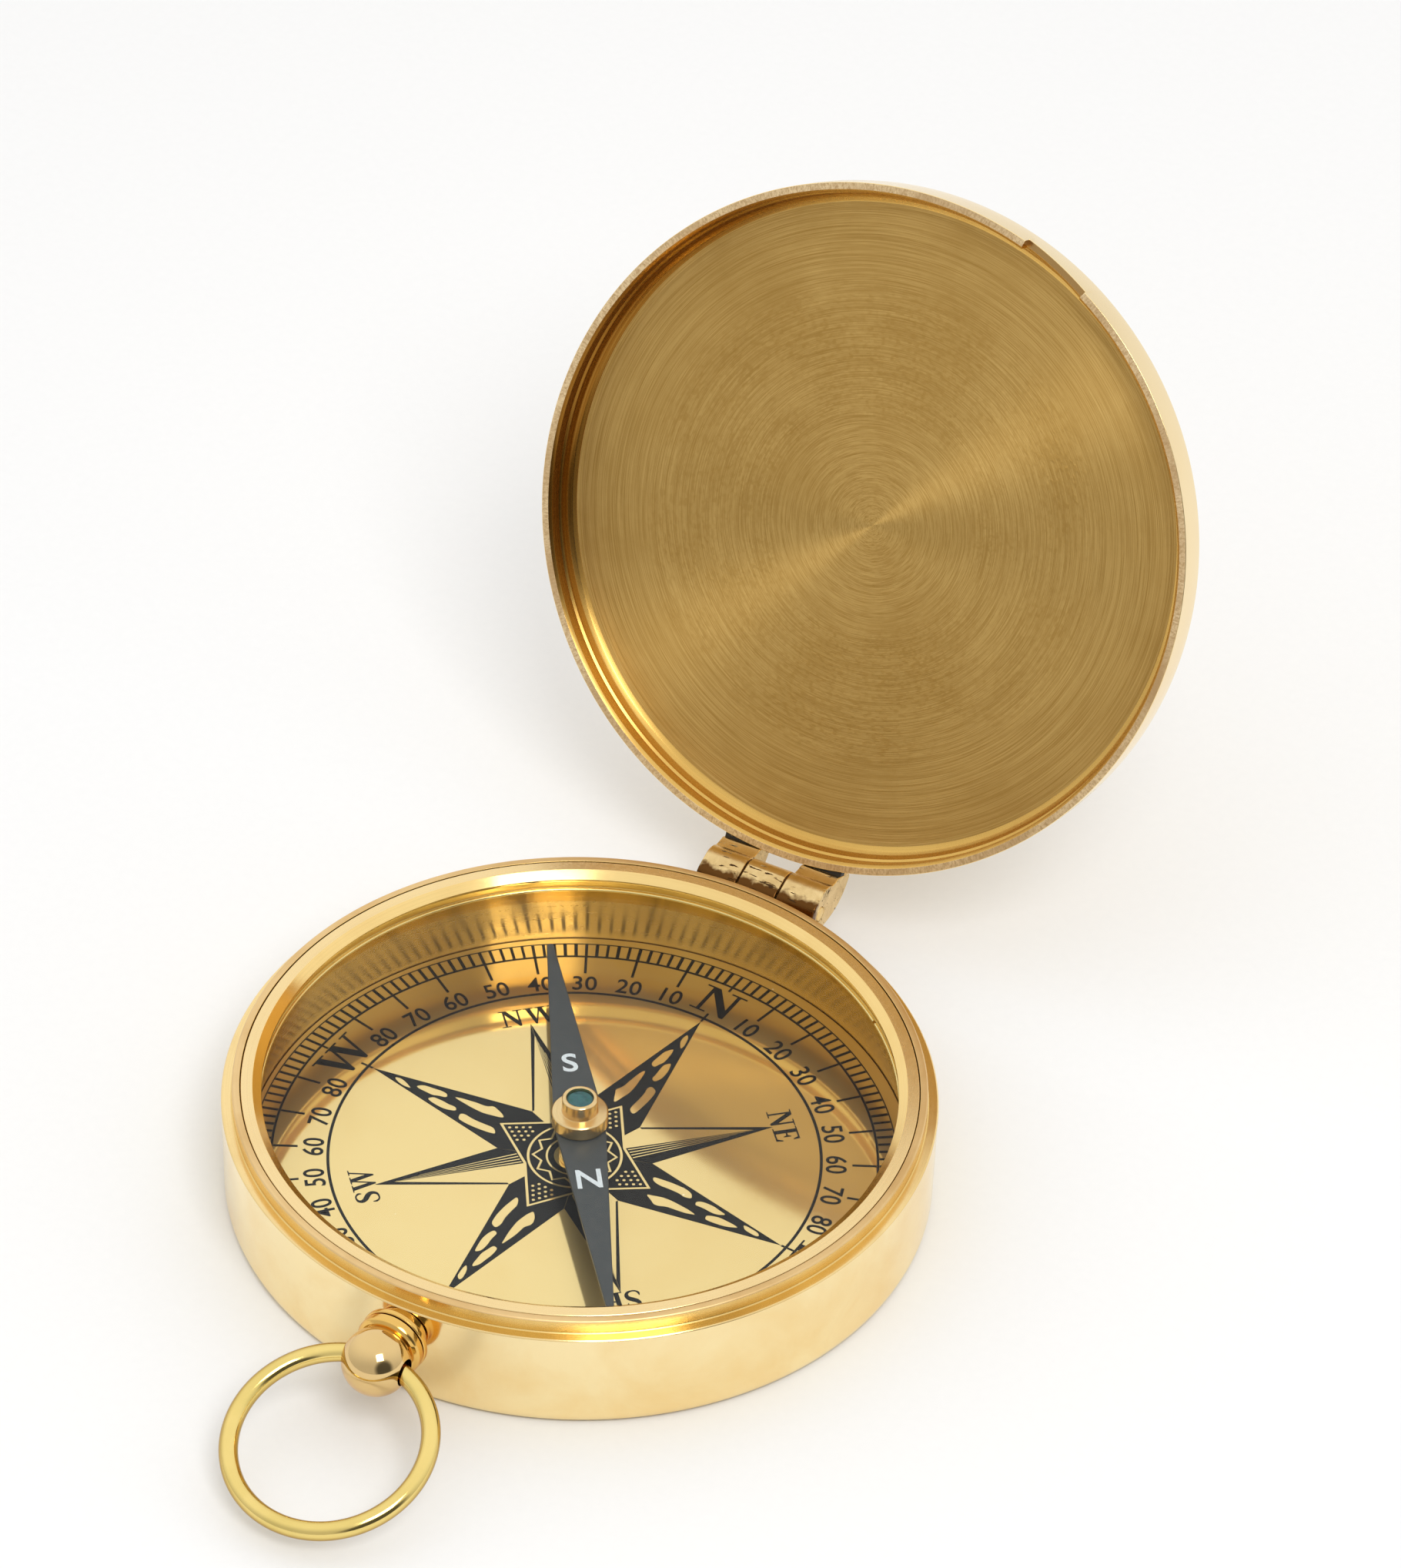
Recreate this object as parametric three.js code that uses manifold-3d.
// Ship's pocket compass: a turned brass cup with a hinged dished lid standing
// open, a dial under a thick glass, a pivoted needle, and a pendant with a
// wire bail.  Millimetres, +Z up.  The origin is the middle of the cup's
// underside; the hinge is towards +Y (the back), the pendant towards -Y.
import * as THREE from "three";
import { mergeVertices } from "three/addons/utils/BufferGeometryUtils.js";
import Module from "manifold-3d";

// ---------------------------------------------------------------- dimensions
// R is a radius, Z a height, Y a distance from the cup's axis.
const DEG = Math.PI / 180;
const FIT = 0.05;               // slack between closely fitted parts
const WALL_GAP = 0.06;          // case wall to the parts that stand against it

// facets round each turning or cylinder
const FACETS = {
  case: 72, bail: 64, foot: 40, jewel: 40, cap: 36, knob: 36,
  pin: 32, pendant: 32, drill: 28, snapSection: 6, bailSection: 12,
};
// steps along each drawn curve
const STEPS = { knuckle: 20, needle: 16, ball: 13 };

// cup
const CASE_R = 37.5;            // outside, at the lid ledge
const CASE_FOOT_R = 37.3;       // outside, just above the foot
const LEDGE_Z = 11.8;           // ledge the closed lid sits on
const SPIGOT_R = 36.36;         // raised step the lid fits over
const SPIGOT_Z = 13.4;
const BEZEL_BORE_R = 35.55;     // counterbore that takes the bezel ring
const BEZEL_SEAT_Z = 9.95;
const WELL_R = 35.1;            // inner wall
const FLOOR_Z = 0.85;

// bezel, glass and the wire that keeps the glass in
const BEZEL_R = BEZEL_BORE_R - 0.1;
const BEZEL_Z0 = BEZEL_SEAT_Z + FIT;
const BEZEL_FLAT_R = 34.2;      // where the flat top turns into the bevel
const OPENING_R = 33.3;
const OPENING_Z = 12.69;
const LIP_Z = 12.4;             // underside of the lip over the glass
const GLASS_BORE_R = 33.75;
const GLASS_R = GLASS_BORE_R - FIT;
const GLASS_Z0 = 10.45;
const GLASS_Z1 = LIP_Z - FIT;
const GLASS_EDGE = 0.1;         // chamfer
const SNAP_WIRE_R = 0.18;
const SNAP_R = GLASS_BORE_R - 0.1 - SNAP_WIRE_R;    // centre line
const SNAP_Z = GLASS_Z0 - FIT - SNAP_WIRE_R;
const SNAP_GAP = 2.0;
const SNAP_GAP_ANGLE = -40;     // degrees from +Y, negative towards +X

// dial and pivot
const DIAL_R = WELL_R - 0.1;
const DIAL_Z0 = FLOOR_Z + FIT;
const DIAL_Z1 = DIAL_Z0 + 1.0;
const DIAL_HOLE_R = 0.95;
const FOOT_SHANK_R = 0.85;
const FOOT_SHANK_Z = DIAL_Z0 + 0.02;
const FOOT_R = 2.1;
const FOOT_NECK_R = 1.15;
const FOOT_TOP_Z = DIAL_Z1 + 2.0;
const PIN_R = 0.5;
const FOOT_BORE_R = PIN_R + FIT;
const PIN_TIP_Z = 9.62;

// needle, its cap and jewel
const NEEDLE_HALF = 28.7;       // hub to tip
const NEEDLE_HALF_W = 2.6;      // half width beside the hub
const NEEDLE_HUB_X = 2.2;       // where the straight edges meet the hub curve
const NEEDLE_TIP_W = 0.36;      // half width at the blunt tip
const NEEDLE_Z0 = 6.2;
const NEEDLE_Z1 = 6.75;
const NEEDLE_ANGLE = 125.0;     // degrees from +X towards +Y
const CAP_Z0 = NEEDLE_Z0 - 0.2;
const CAP_FLANGE_R = 3.0;
const CAP_FLANGE_Z0 = NEEDLE_Z1 + FIT;
const CAP_FLANGE_Z1 = 8.45;
const CAP_TOP_R = 1.9;
const CAP_TOP_Z = 10.25;
const CAP_BORE_R = 0.8;
const CAP_SPIGOT_R = 1.25;
const NEEDLE_HOLE_R = CAP_SPIGOT_R + 0.07;
const JEWEL_R = 1.38;
const JEWEL_SEAT_R = JEWEL_R + 0.07;
const JEWEL_SEAT_Z = 9.2;
const JEWEL_Z0 = JEWEL_SEAT_Z + FIT;

// lid, given in its closed position
const LID_RIM_Z = LEDGE_Z + FIT;
const LID_R = 37.6;
const LID_BORE_R = SPIGOT_R + 0.14;
const LID_POCKET_R = 36.22;     // narrower wall between the bore and the floor
const LID_DEPTH = 3.82;         // rim plane to the inner floor
const LID_HEIGHT = 5.9;         // rim plane to the outer crown
const LID_OPEN = 114.87;        // degrees turned back from closed
const NOTCH_A0 = 16.6;          // thumb notch, degrees from the front to +X
const NOTCH_A1 = 29.5;
const NOTCH_DEPTH = 0.9;

// hinge
const PIN_Y = 41.1;             // hinge axis
const PIN_Z = 8.65;
const KNUCKLE_R = 2.5;
const KNUCKLE_BORE_R = 0.85;
const HINGE_PIN_R = KNUCKLE_BORE_R - FIT;
const HINGE_HALF = 7.15;        // half of the hinge's width
const MID_HALF = 2.3;           // half of the middle knuckle
const OUTER_X0 = MID_HALF + 0.2;    // inner face of an outer knuckle

// pendant and bail; Y here is measured outwards, towards -Y
const PEND_Z = 9.0;             // height of the pendant's axis
const STUD_R = 1.4;
const STUD_BORE_R = STUD_R + FIT;
const STUD_Y0 = 37.7;
const STUD_Y1 = 40.7;
const BOSS_Y0 = CASE_R + WALL_GAP;
const BOSS_Y1 = 39.5;
const COLLAR_Y0 = 39.72;        // face of the knob's collar
const BALL_START_Y = 41.1;      // where the ball leaves the collar
const BALL_Y = 43.0;            // centre of the ball
const BALL_R = 3.6;
const BALL_HOLE_R = 1.45;
const BAIL_R = 10.32;           // centre line
const BAIL_WIRE_R = 1.0;
const BAIL_OFFSET = 10.0;       // ball centre to bail centre
const BAIL_TILT = 18.0;         // droop in degrees

// ------------------------------------------------------------------ finishes
const finish = (settings) => new THREE.MeshStandardMaterial(settings);
const polishedBrass = () => finish({ color: 0xe8c27a, roughness: 0.18, metalness: 1.0 });
const satinBrass = () => finish({ color: 0xc9a35c, roughness: 0.38, metalness: 1.0 });
const glass = () => finish({ color: 0xf4f8f6, roughness: 0.04, metalness: 0.0 });
const dialMetal = () => finish({ color: 0xe9cf94, roughness: 0.22, metalness: 1.0 });
const pivotSteel = () => finish({ color: 0xb9bcc0, roughness: 0.25, metalness: 1.0 });
const darkBlade = () => finish({ color: 0x3f4549, roughness: 0.42, metalness: 0.1 });
const capBrass = () => finish({ color: 0xc79c5a, roughness: 0.25, metalness: 1.0 });
const greenJewel = () => finish({ color: 0x1f6f68, roughness: 0.08, metalness: 0.0 });
const hingePinBrass = () => finish({ color: 0xbfa36a, roughness: 0.3, metalness: 1.0 });
const bailBrass = () => finish({ color: 0xd8b04e, roughness: 0.2, metalness: 1.0 });

// ------------------------------------------------------------------- helpers
// turn a profile of [radius, height] pairs about +Z
function turned(profile, facets = FACETS.case) {
  const points = profile.map(([radius, z]) => new THREE.Vector2(radius, z));
  return new THREE.LatheGeometry(points, facets).rotateX(Math.PI / 2);
}

// the same for a closed profile that stays off the axis
const ring = (profile, facets) => turned([...profile, profile[0]], facets);

// ring of round wire, its section a polygon
function wireRing({ radius, z, wireR, sides, facets }) {
  const profile = [];
  for (let i = 0; i < sides; i++) {
    const angle = (i + 0.5) * 2 * Math.PI / sides;
    profile.push([radius + wireR * Math.cos(angle), z + wireR * Math.sin(angle)]);
  }
  return ring(profile, facets);
}

function cylinderAlongX(radius, length, facets) {
  return new THREE.CylinderGeometry(radius, radius, length, facets).rotateZ(Math.PI / 2);
}

function addHole(shape, x, y, radius) {
  const hole = new THREE.Path();
  hole.absarc(x, y, radius, 0, Math.PI * 2, true);
  shape.holes.push(hole);
}

const wasm = await Module();
wasm.setup();

function toSolid(geometry) {
  const bare = geometry.clone();
  bare.deleteAttribute("normal");
  bare.deleteAttribute("uv");
  const welded = mergeVertices(bare, 1e-4);
  return new wasm.Manifold(new wasm.Mesh({
    numProp: 3,
    vertProperties: new Float32Array(welded.attributes.position.array),
    triVerts: new Uint32Array(welded.index.array),
  }));
}

// body with the tool's volume taken away
function cut(body, tool) {
  const mesh = toSolid(body).subtract(toSolid(tool)).getMesh();
  const geometry = new THREE.BufferGeometry();
  const positions = new Float32Array(mesh.vertProperties);
  geometry.setAttribute("position", new THREE.BufferAttribute(positions, 3));
  geometry.setIndex(new THREE.BufferAttribute(new Uint32Array(mesh.triVerts), 1));
  geometry.computeVertexNormals();
  return geometry;
}

function add(parent, name, geometry, material) {
  const mesh = new THREE.Mesh(geometry, material);
  mesh.name = name;
  parent.add(mesh);
}

function addGroup(parent, name) {
  const group = new THREE.Group();
  group.name = name;
  parent.add(group);
  return group;
}

// ------------------------------------------------------ cup, bezel and glass
const caseCup = () => turned([
  [0, 0], [36.3, 0], [36.8, 0.12], [37.15, 0.45], [CASE_FOOT_R, 0.95],
  [CASE_R, LEDGE_Z - 0.18], [CASE_R - 0.12, LEDGE_Z],
  [SPIGOT_R + 0.14, LEDGE_Z], [SPIGOT_R, LEDGE_Z + 0.14],
  [SPIGOT_R, SPIGOT_Z - 0.16], [SPIGOT_R - 0.16, SPIGOT_Z],
  [BEZEL_BORE_R, SPIGOT_Z], [BEZEL_BORE_R, BEZEL_SEAT_Z],
  [WELL_R, BEZEL_SEAT_Z], [WELL_R, FLOOR_Z], [0, FLOOR_Z],
]);

// flat top, inward bevel, and a lip over the glass
const bezelRing = () => ring([
  [GLASS_BORE_R, BEZEL_Z0], [BEZEL_R, BEZEL_Z0], [BEZEL_R, SPIGOT_Z - 0.1],
  [BEZEL_R - 0.1, SPIGOT_Z], [BEZEL_FLAT_R, SPIGOT_Z],
  [OPENING_R, OPENING_Z], [OPENING_R, LIP_Z], [GLASS_BORE_R, LIP_Z],
]);

const coverGlass = () => turned([
  [0, GLASS_Z0], [GLASS_R - GLASS_EDGE, GLASS_Z0], [GLASS_R, GLASS_Z0 + GLASS_EDGE],
  [GLASS_R, GLASS_Z1 - GLASS_EDGE], [GLASS_R - GLASS_EDGE, GLASS_Z1], [0, GLASS_Z1],
]);

// split wire under the glass
function snapWire() {
  const wire = wireRing({
    radius: SNAP_R, z: SNAP_Z, wireR: SNAP_WIRE_R,
    sides: FACETS.snapSection, facets: FACETS.case,
  });
  const gap = new THREE.BoxGeometry(SNAP_GAP, 4, 2);
  gap.translate(0, SNAP_R, SNAP_Z);
  gap.rotateZ(SNAP_GAP_ANGLE * DEG);
  return cut(wire, gap);
}

// ------------------------------------------------------------ dial and pivot
const dialPlate = () => ring([
  [DIAL_HOLE_R, DIAL_Z0], [DIAL_R, DIAL_Z0], [DIAL_R, DIAL_Z1], [DIAL_HOLE_R, DIAL_Z1],
]);

// holds the pivot pin up through the dial
const pivotFoot = () => ring([
  [FOOT_BORE_R, FOOT_SHANK_Z], [FOOT_SHANK_R, FOOT_SHANK_Z],
  [FOOT_SHANK_R, DIAL_Z1 + FIT], [FOOT_R, DIAL_Z1 + FIT],
  [FOOT_R, DIAL_Z1 + 0.65], [FOOT_NECK_R, DIAL_Z1 + 1.35],
  [FOOT_NECK_R, FOOT_TOP_Z], [FOOT_BORE_R, FOOT_TOP_Z],
], FACETS.foot);

const pivotPin = () => turned([
  [0, DIAL_Z0 + FIT], [PIN_R, DIAL_Z0 + FIT], [PIN_R, 8.1],
  [0.32, 8.9], [0.06, PIN_TIP_Z - 0.03], [0, PIN_TIP_Z],
], FACETS.pin);

// -------------------------------------------------------------------- needle
// long lozenge with blunt tips, drawn along X
function needleBlade() {
  const shoulderX = NEEDLE_HALF - 0.15;     // start of the tip's corner chamfer
  const endW = NEEDLE_TIP_W - 0.14;         // half width of the tip's end face
  const hubW = NEEDLE_HALF_W - 0.04;
  const shape = new THREE.Shape();
  shape.moveTo(shoulderX, -NEEDLE_TIP_W);
  // each pass draws one tip and the long edge that follows it
  for (const side of [1, -1]) {
    shape.lineTo(side * NEEDLE_HALF, -side * endW);
    shape.lineTo(side * NEEDLE_HALF, side * endW);
    shape.lineTo(side * shoulderX, side * NEEDLE_TIP_W);
    shape.lineTo(side * NEEDLE_HUB_X, side * hubW);
    shape.quadraticCurveTo(0, side * (NEEDLE_HALF_W + 0.14),
      -side * NEEDLE_HUB_X, side * hubW);
    shape.lineTo(-side * shoulderX, side * NEEDLE_TIP_W);
  }
  addHole(shape, 0, 0, NEEDLE_HOLE_R);
  const blade = new THREE.ExtrudeGeometry(shape, {
    depth: NEEDLE_Z1 - NEEDLE_Z0, bevelEnabled: false, curveSegments: STEPS.needle,
  });
  return blade.translate(0, 0, NEEDLE_Z0);
}

// spigot through the blade, flange on top, jewel seat above
const needleCap = () => ring([
  [CAP_BORE_R, CAP_Z0], [CAP_SPIGOT_R, CAP_Z0],
  [CAP_SPIGOT_R, CAP_FLANGE_Z0], [CAP_FLANGE_R - 0.08, CAP_FLANGE_Z0],
  [CAP_FLANGE_R, CAP_FLANGE_Z0 + 0.1], [CAP_FLANGE_R, CAP_FLANGE_Z1 - 0.14],
  [CAP_FLANGE_R - 0.14, CAP_FLANGE_Z1], [CAP_TOP_R, CAP_FLANGE_Z1],
  [CAP_TOP_R, CAP_TOP_Z - 0.12], [CAP_TOP_R - 0.12, CAP_TOP_Z],
  [JEWEL_SEAT_R, CAP_TOP_Z], [JEWEL_SEAT_R, JEWEL_SEAT_Z], [CAP_BORE_R, JEWEL_SEAT_Z],
], FACETS.cap);

// bearing, hollowed underneath where the pin's point runs
const capJewel = () => turned([
  [0, 9.72], [0.6, JEWEL_Z0], [JEWEL_R, JEWEL_Z0], [JEWEL_R, 9.9], [1.2, 10.02], [0, 10.06],
], FACETS.jewel);

// --------------------------------------------------------------------- hinge
// bore an outline drawn in the Y-Z plane for the pin, and push it along +X
function knuckle(shape, x0, x1) {
  addHole(shape, PIN_Y, PIN_Z, KNUCKLE_BORE_R);
  const body = new THREE.ExtrudeGeometry(shape, {
    depth: x1 - x0, bevelEnabled: false, curveSegments: STEPS.knuckle,
  });
  body.applyMatrix4(new THREE.Matrix4().makeBasis(
    new THREE.Vector3(0, 1, 0), new THREE.Vector3(0, 0, 1), new THREE.Vector3(1, 0, 0)));
  return body.translate(x0, 0, 0);
}

// from low on the case wall, out and over the pin, and back to the wall
function caseKnuckle() {
  const wallY = CASE_R + WALL_GAP;
  const shape = new THREE.Shape();
  shape.moveTo(wallY, 2.6);
  shape.lineTo(CASE_R + 0.5, 2.5);
  shape.quadraticCurveTo(PIN_Y + 1.6, 3.6, PIN_Y + KNUCKLE_R, PIN_Z);
  shape.absarc(PIN_Y, PIN_Z, KNUCKLE_R, 0, 150 * DEG, false);
  shape.quadraticCurveTo(CASE_R + 0.75, PIN_Z - 0.6, wallY, PIN_Z - 1.1);
  shape.closePath();
  return knuckle(shape, -MID_HALF, MID_HALF);
}

// from the lid wall, under and round the pin, and back up to the wall
function lidKnuckle(x0, x1) {
  const wallY = LID_R - 0.02;
  const arcStart = 165 * DEG;
  const shape = new THREE.Shape();
  shape.moveTo(wallY, LID_RIM_Z + 0.25);
  shape.quadraticCurveTo(wallY + 0.25, PIN_Z + 1.3,
    PIN_Y + KNUCKLE_R * Math.cos(arcStart), PIN_Z + KNUCKLE_R * Math.sin(arcStart));
  shape.absarc(PIN_Y, PIN_Z, KNUCKLE_R, arcStart, 380 * DEG, false);
  shape.quadraticCurveTo(PIN_Y + 0.6, LID_RIM_Z + 2.3, wallY + 0.35, LID_RIM_Z + 2.9);
  shape.lineTo(wallY, LID_RIM_Z + 2.7);
  shape.closePath();
  return fromPin(knuckle(shape, x0, x1));
}

const hingePin = () => cylinderAlongX(HINGE_PIN_R, 2 * HINGE_HALF, FACETS.pin)
  .translate(0, PIN_Y, PIN_Z);

// ----------------------------------------------------------------------- lid
// move a part drawn closed on the cup into the lid group's frame
function fromPin(geometry) {
  return geometry.translate(0, -PIN_Y, -PIN_Z);
}

function lidShell() {
  const rim = LID_RIM_Z;
  const floor = rim + LID_DEPTH;
  const body = turned([
    // inside, from the middle of the floor out and down to the rim
    [0, floor], [30, floor - 0.01], [35.2, floor - 0.04],
    [35.9, floor - 0.3], [LID_POCKET_R, floor - 0.85], [LID_POCKET_R, rim + 2.1],
    [LID_BORE_R, rim + 1.9], [LID_BORE_R, rim],
    // outside, from the rim up to the middle of the crown
    [LID_R - 0.06, rim], [LID_R, rim + 0.06], [37.46, rim + 2.8], [37.2, rim + 4.9],
    [36.9, rim + 5.35], [36.3, rim + 5.6], [24, rim + 5.85], [0, rim + LID_HEIGHT],
  ]);
  // flat thumb notch in the rim
  const middle = (NOTCH_A0 + NOTCH_A1) / 2 * DEG;
  const halfWidth = LID_R * Math.sin((NOTCH_A1 - NOTCH_A0) / 2 * DEG);
  const notch = new THREE.BoxGeometry(2 * halfWidth, 6, 2 * NOTCH_DEPTH);
  notch.translate(0, -(LID_R + 0.6), rim);
  notch.rotateZ(middle);
  return fromPin(cut(body, notch));
}

// ------------------------------------------------------------------- pendant
// lay a turning along the pendant's axis, its +Z turned to -Y
const alongPendant = (geometry) => geometry.rotateX(Math.PI / 2).translate(0, 0, PEND_Z);

const pendantBoss = () => alongPendant(ring([
  [STUD_BORE_R, BOSS_Y0], [2.75, BOSS_Y0], [2.75, 38.35], [2.95, 38.7],
  [3.65, 39.0], [3.8, 39.1], [3.8, 39.42], [3.7, BOSS_Y1], [STUD_BORE_R, BOSS_Y1],
], FACETS.pendant));

const pendantStud = () => alongPendant(turned([
  [0, STUD_Y0], [STUD_R, STUD_Y0], [STUD_R, STUD_Y1 - 0.15], [1.2, STUD_Y1], [0, STUD_Y1],
], FACETS.pendant));

// stepped collar running into a ball, cross-drilled for the bail
function pendantKnob() {
  const profile = [
    [0, STUD_Y1 + FIT], [STUD_BORE_R, STUD_Y1 + FIT], [STUD_BORE_R, COLLAR_Y0],
    [3.6, COLLAR_Y0], [3.78, 39.8], [3.78, 40.2], [3.68, 40.3], [3.3, 40.34],
    [3.3, 40.72], [3.1, 40.86], [2.72, 40.95],
  ];
  // angle round the ball, 0 facing the case
  const start = Math.acos((BALL_Y - BALL_START_Y) / BALL_R);
  for (let i = 0; i < STEPS.ball; i++) {
    const angle = start + (Math.PI - start) * i / STEPS.ball;
    profile.push([BALL_R * Math.sin(angle), BALL_Y - BALL_R * Math.cos(angle)]);
  }
  profile.push([0, BALL_Y + BALL_R]);
  const drill = cylinderAlongX(BALL_HOLE_R, 12, FACETS.drill).translate(0, -BALL_Y, PEND_Z);
  return cut(alongPendant(turned(profile, FACETS.knob)), drill);
}

// drawn straight out along -Y from the ball's centre
const bailRing = () => wireRing({
  radius: BAIL_R, z: 0, wireR: BAIL_WIRE_R,
  sides: FACETS.bailSection, facets: FACETS.bail,
}).translate(0, -BAIL_OFFSET, 0);

// ------------------------------------------------------------------ assembly
const root = new THREE.Group();
root.name = "ship_compass";
add(root, "case_cup", caseCup(), polishedBrass());
add(root, "bezel_ring", bezelRing(), polishedBrass());
add(root, "cover_glass", coverGlass(), glass());
add(root, "glass_snap_wire", snapWire(), polishedBrass());
add(root, "dial_plate", dialPlate(), dialMetal());
add(root, "pivot_foot", pivotFoot(), satinBrass());
add(root, "pivot_pin", pivotPin(), pivotSteel());

const needle = addGroup(root, "needle_group");
needle.rotation.z = NEEDLE_ANGLE * DEG;
add(needle, "needle_blade", needleBlade(), darkBlade());
add(needle, "needle_cap", needleCap(), capBrass());
add(needle, "cap_jewel", capJewel(), greenJewel());

add(root, "case_hinge_knuckle", caseKnuckle(), satinBrass());
add(root, "hinge_pin", hingePin(), hingePinBrass());

// turned back about the hinge pin
const lid = addGroup(root, "lid_group");
lid.position.set(0, PIN_Y, PIN_Z);
lid.rotation.x = -LID_OPEN * DEG;
add(lid, "lid_shell", lidShell(), polishedBrass());
add(lid, "lid_knuckle_left", lidKnuckle(-HINGE_HALF, -OUTER_X0), satinBrass());
add(lid, "lid_knuckle_right", lidKnuckle(OUTER_X0, HINGE_HALF), satinBrass());

add(root, "pendant_boss", pendantBoss(), polishedBrass());
add(root, "pendant_stud", pendantStud(), satinBrass());
add(root, "pendant_knob", pendantKnob(), polishedBrass());

// drooped about the ball's centre
const bail = addGroup(root, "bail_group");
bail.position.set(0, -BALL_Y, PEND_Z);
bail.rotation.x = BAIL_TILT * DEG;
add(bail, "bail_ring", bailRing(), bailBrass());

export default root;
